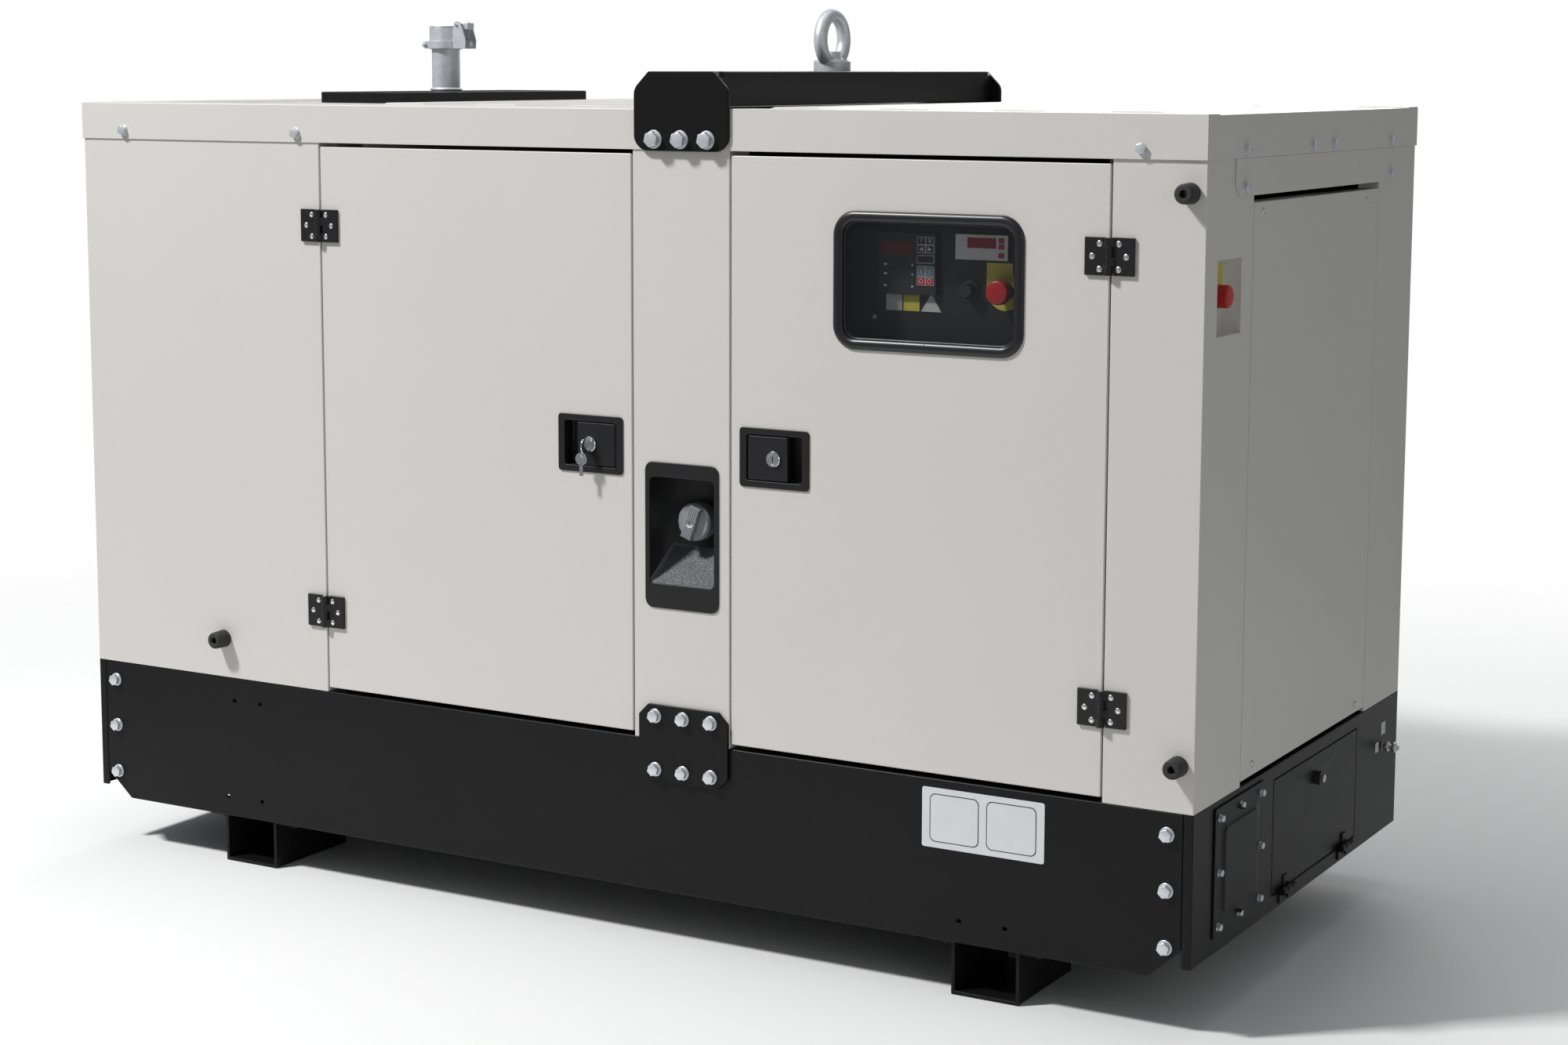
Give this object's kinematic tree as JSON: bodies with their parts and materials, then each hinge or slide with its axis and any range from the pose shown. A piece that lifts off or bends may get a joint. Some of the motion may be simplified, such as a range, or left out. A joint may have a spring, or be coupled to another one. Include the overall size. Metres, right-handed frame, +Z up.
{
  "type": "enclosed standby generating set",
  "caption": "Sheet-metal canopy on a skid base with lockable hinged service doors, control window, filler recess, lifting beam with eye, tail pipe and the diesel set inside.",
  "frame": {"origin": "on the ground, under the middle of the base", "axes": "+X along the long side towards the control and emergency stop end, +Y from the door side to the back, +Z up"},
  "size_m": [2.241, 1.0406, 1.5634],
  "materials": {
    "warm_grey_coat": "satin",
    "black_coat": "satin",
    "black_nylon": "satin",
    "black_rubber": "matte",
    "galvanised_steel": "satin",
    "exhaust_steel": "satin",
    "stop_red": "satin",
    "smoked_glass": "gloss",
    "engine_casting": "matte",
    "radiator_black": "matte",
    "moulded_black": "matte",
    "cubicle_black": "satin"
  },
  "bodies": {
    "set": {"alternator": "engine_casting", "base_access_plate": "black_coat", "base_deck": "black_coat", "base_end_left": "black_coat", "base_end_right": "black_coat", "base_rail_front": "black_coat", "base_rail_rear": "black_coat", "battery": "moulded_black", "column_front": "warm_grey_coat", "column_rear": "warm_grey_coat", "control_cubicle": "cubicle_black", "corner_post_front": "warm_grey_coat", "corner_post_rear": "warm_grey_coat", "end_access_panel": "warm_grey_coat", "end_cross_plate": "warm_grey_coat", "engine_block": "engine_casting", "exhaust_cover": "black_coat", "exhaust_silencer": "exhaust_steel", "filler_recess": "black_nylon", "fuel_tank": "moulded_black", "hinge_fixed_left_lower": "black_nylon", "hinge_fixed_left_upper": "black_nylon", "hinge_fixed_right_lower": "black_nylon", "hinge_fixed_right_upper": "black_nylon", "left_end_panel": "warm_grey_coat", "lifting_beam": "black_coat", "lifting_eye": "galvanised_steel", "radiator": "radiator_black", "roof_cap": "warm_grey_coat", "rubber_buffer_lower_left": "black_rubber", "rubber_buffer_lower_right": "black_rubber", "rubber_buffer_upper_right": "black_rubber", "service_panel_left": "warm_grey_coat", "service_panel_right": "warm_grey_coat", "side_panel_front": "warm_grey_coat", "side_panel_rear": "warm_grey_coat", "skid_foot_front_left": "black_coat", "skid_foot_front_right": "black_coat", "skid_foot_rear_left": "black_coat", "skid_foot_rear_right": "black_coat", "tie_plate_front": "black_coat", "tie_plate_rear": "black_coat"},
    "left_door": {"door_left": "warm_grey_coat", "hinge_moving_left_upper": "black_nylon", "hinge_moving_left_lower": "black_nylon", "latch_dish_left": "black_nylon"},
    "right_door": {"door_right": "warm_grey_coat", "hinge_moving_right_upper": "black_nylon", "hinge_moving_right_lower": "black_nylon", "latch_dish_right": "black_nylon", "window_seal": "black_rubber", "window_pane": "smoked_glass"},
    "paddle_left": {"latch_paddle_left": "black_nylon"},
    "paddle_right": {"latch_paddle_right": "black_nylon"},
    "filler_cap": {"filler_cap": "black_nylon"},
    "panel_stop": {"estop_panel": "stop_red"},
    "side_stop": {"estop_side": "stop_red"},
    "raincap_flap": {"raincap_flap": "galvanised_steel"},
    "base_flap": {"base_flap": "black_coat"},
    "cooling_fan": {"cooling_fan": "black_nylon"}
  },
  "joints": [
    {"name": "left_door_hinge", "type": "hinge", "parent": "set", "child": "left_door", "pos_m": [-0.5485, -0.5003, 0.84], "axis": [0, 0, -1], "range_deg": [0, 172]},
    {"name": "right_door_hinge", "type": "hinge", "parent": "set", "child": "right_door", "pos_m": [0.949, -0.5003, 0.84], "axis": [0, 0, 1], "range_deg": [0, 168]},
    {"name": "left_latch", "type": "hinge", "parent": "left_door", "child": "paddle_left", "pos_m": [0.0634, -0.4903, 0.8385], "axis": [0, 0, 1], "range_deg": [0, 35], "stiffness_Nm_per_rad": 0.3, "springref_deg": -17.19},
    {"name": "right_latch", "type": "hinge", "parent": "right_door", "child": "paddle_right", "pos_m": [0.3276, -0.4903, 0.8385], "axis": [0, 0, -1], "range_deg": [0, 35], "stiffness_Nm_per_rad": 0.3, "springref_deg": -17.19},
    {"name": "filler_cap_turn", "type": "hinge", "parent": "set", "child": "filler_cap", "pos_m": [0.1975, -0.4341, 0.716], "axis": [0, 1, 0], "range_deg": [0, 90]},
    {"name": "panel_stop_press", "type": "slide", "parent": "set", "child": "panel_stop", "axis": [0, 1, 0], "range_m": [0, 0.006], "stiffness_N_per_m": 500, "springref_m": -0.02},
    {"name": "side_stop_press", "type": "slide", "parent": "set", "child": "side_stop", "axis": [-1, 0, 0], "range_m": [0, 0.006], "stiffness_N_per_m": 500, "springref_m": -0.02},
    {"name": "raincap_hinge", "type": "hinge", "parent": "set", "child": "raincap_flap", "pos_m": [-0.601, 0, 1.539], "axis": [0, 1, 0], "range_deg": [0, 60]},
    {"name": "base_flap_hinge", "type": "hinge", "parent": "set", "child": "base_flap", "pos_m": [1.1068, 0.06, 0.1355], "axis": [0, 1, 0], "range_deg": [0, 120]},
    {"name": "fan_spin", "type": "hinge", "parent": "set", "child": "cooling_fan", "pos_m": [-0.74, 0, 0.7667], "axis": [1, 0, 0], "continuous": true}
  ]
}
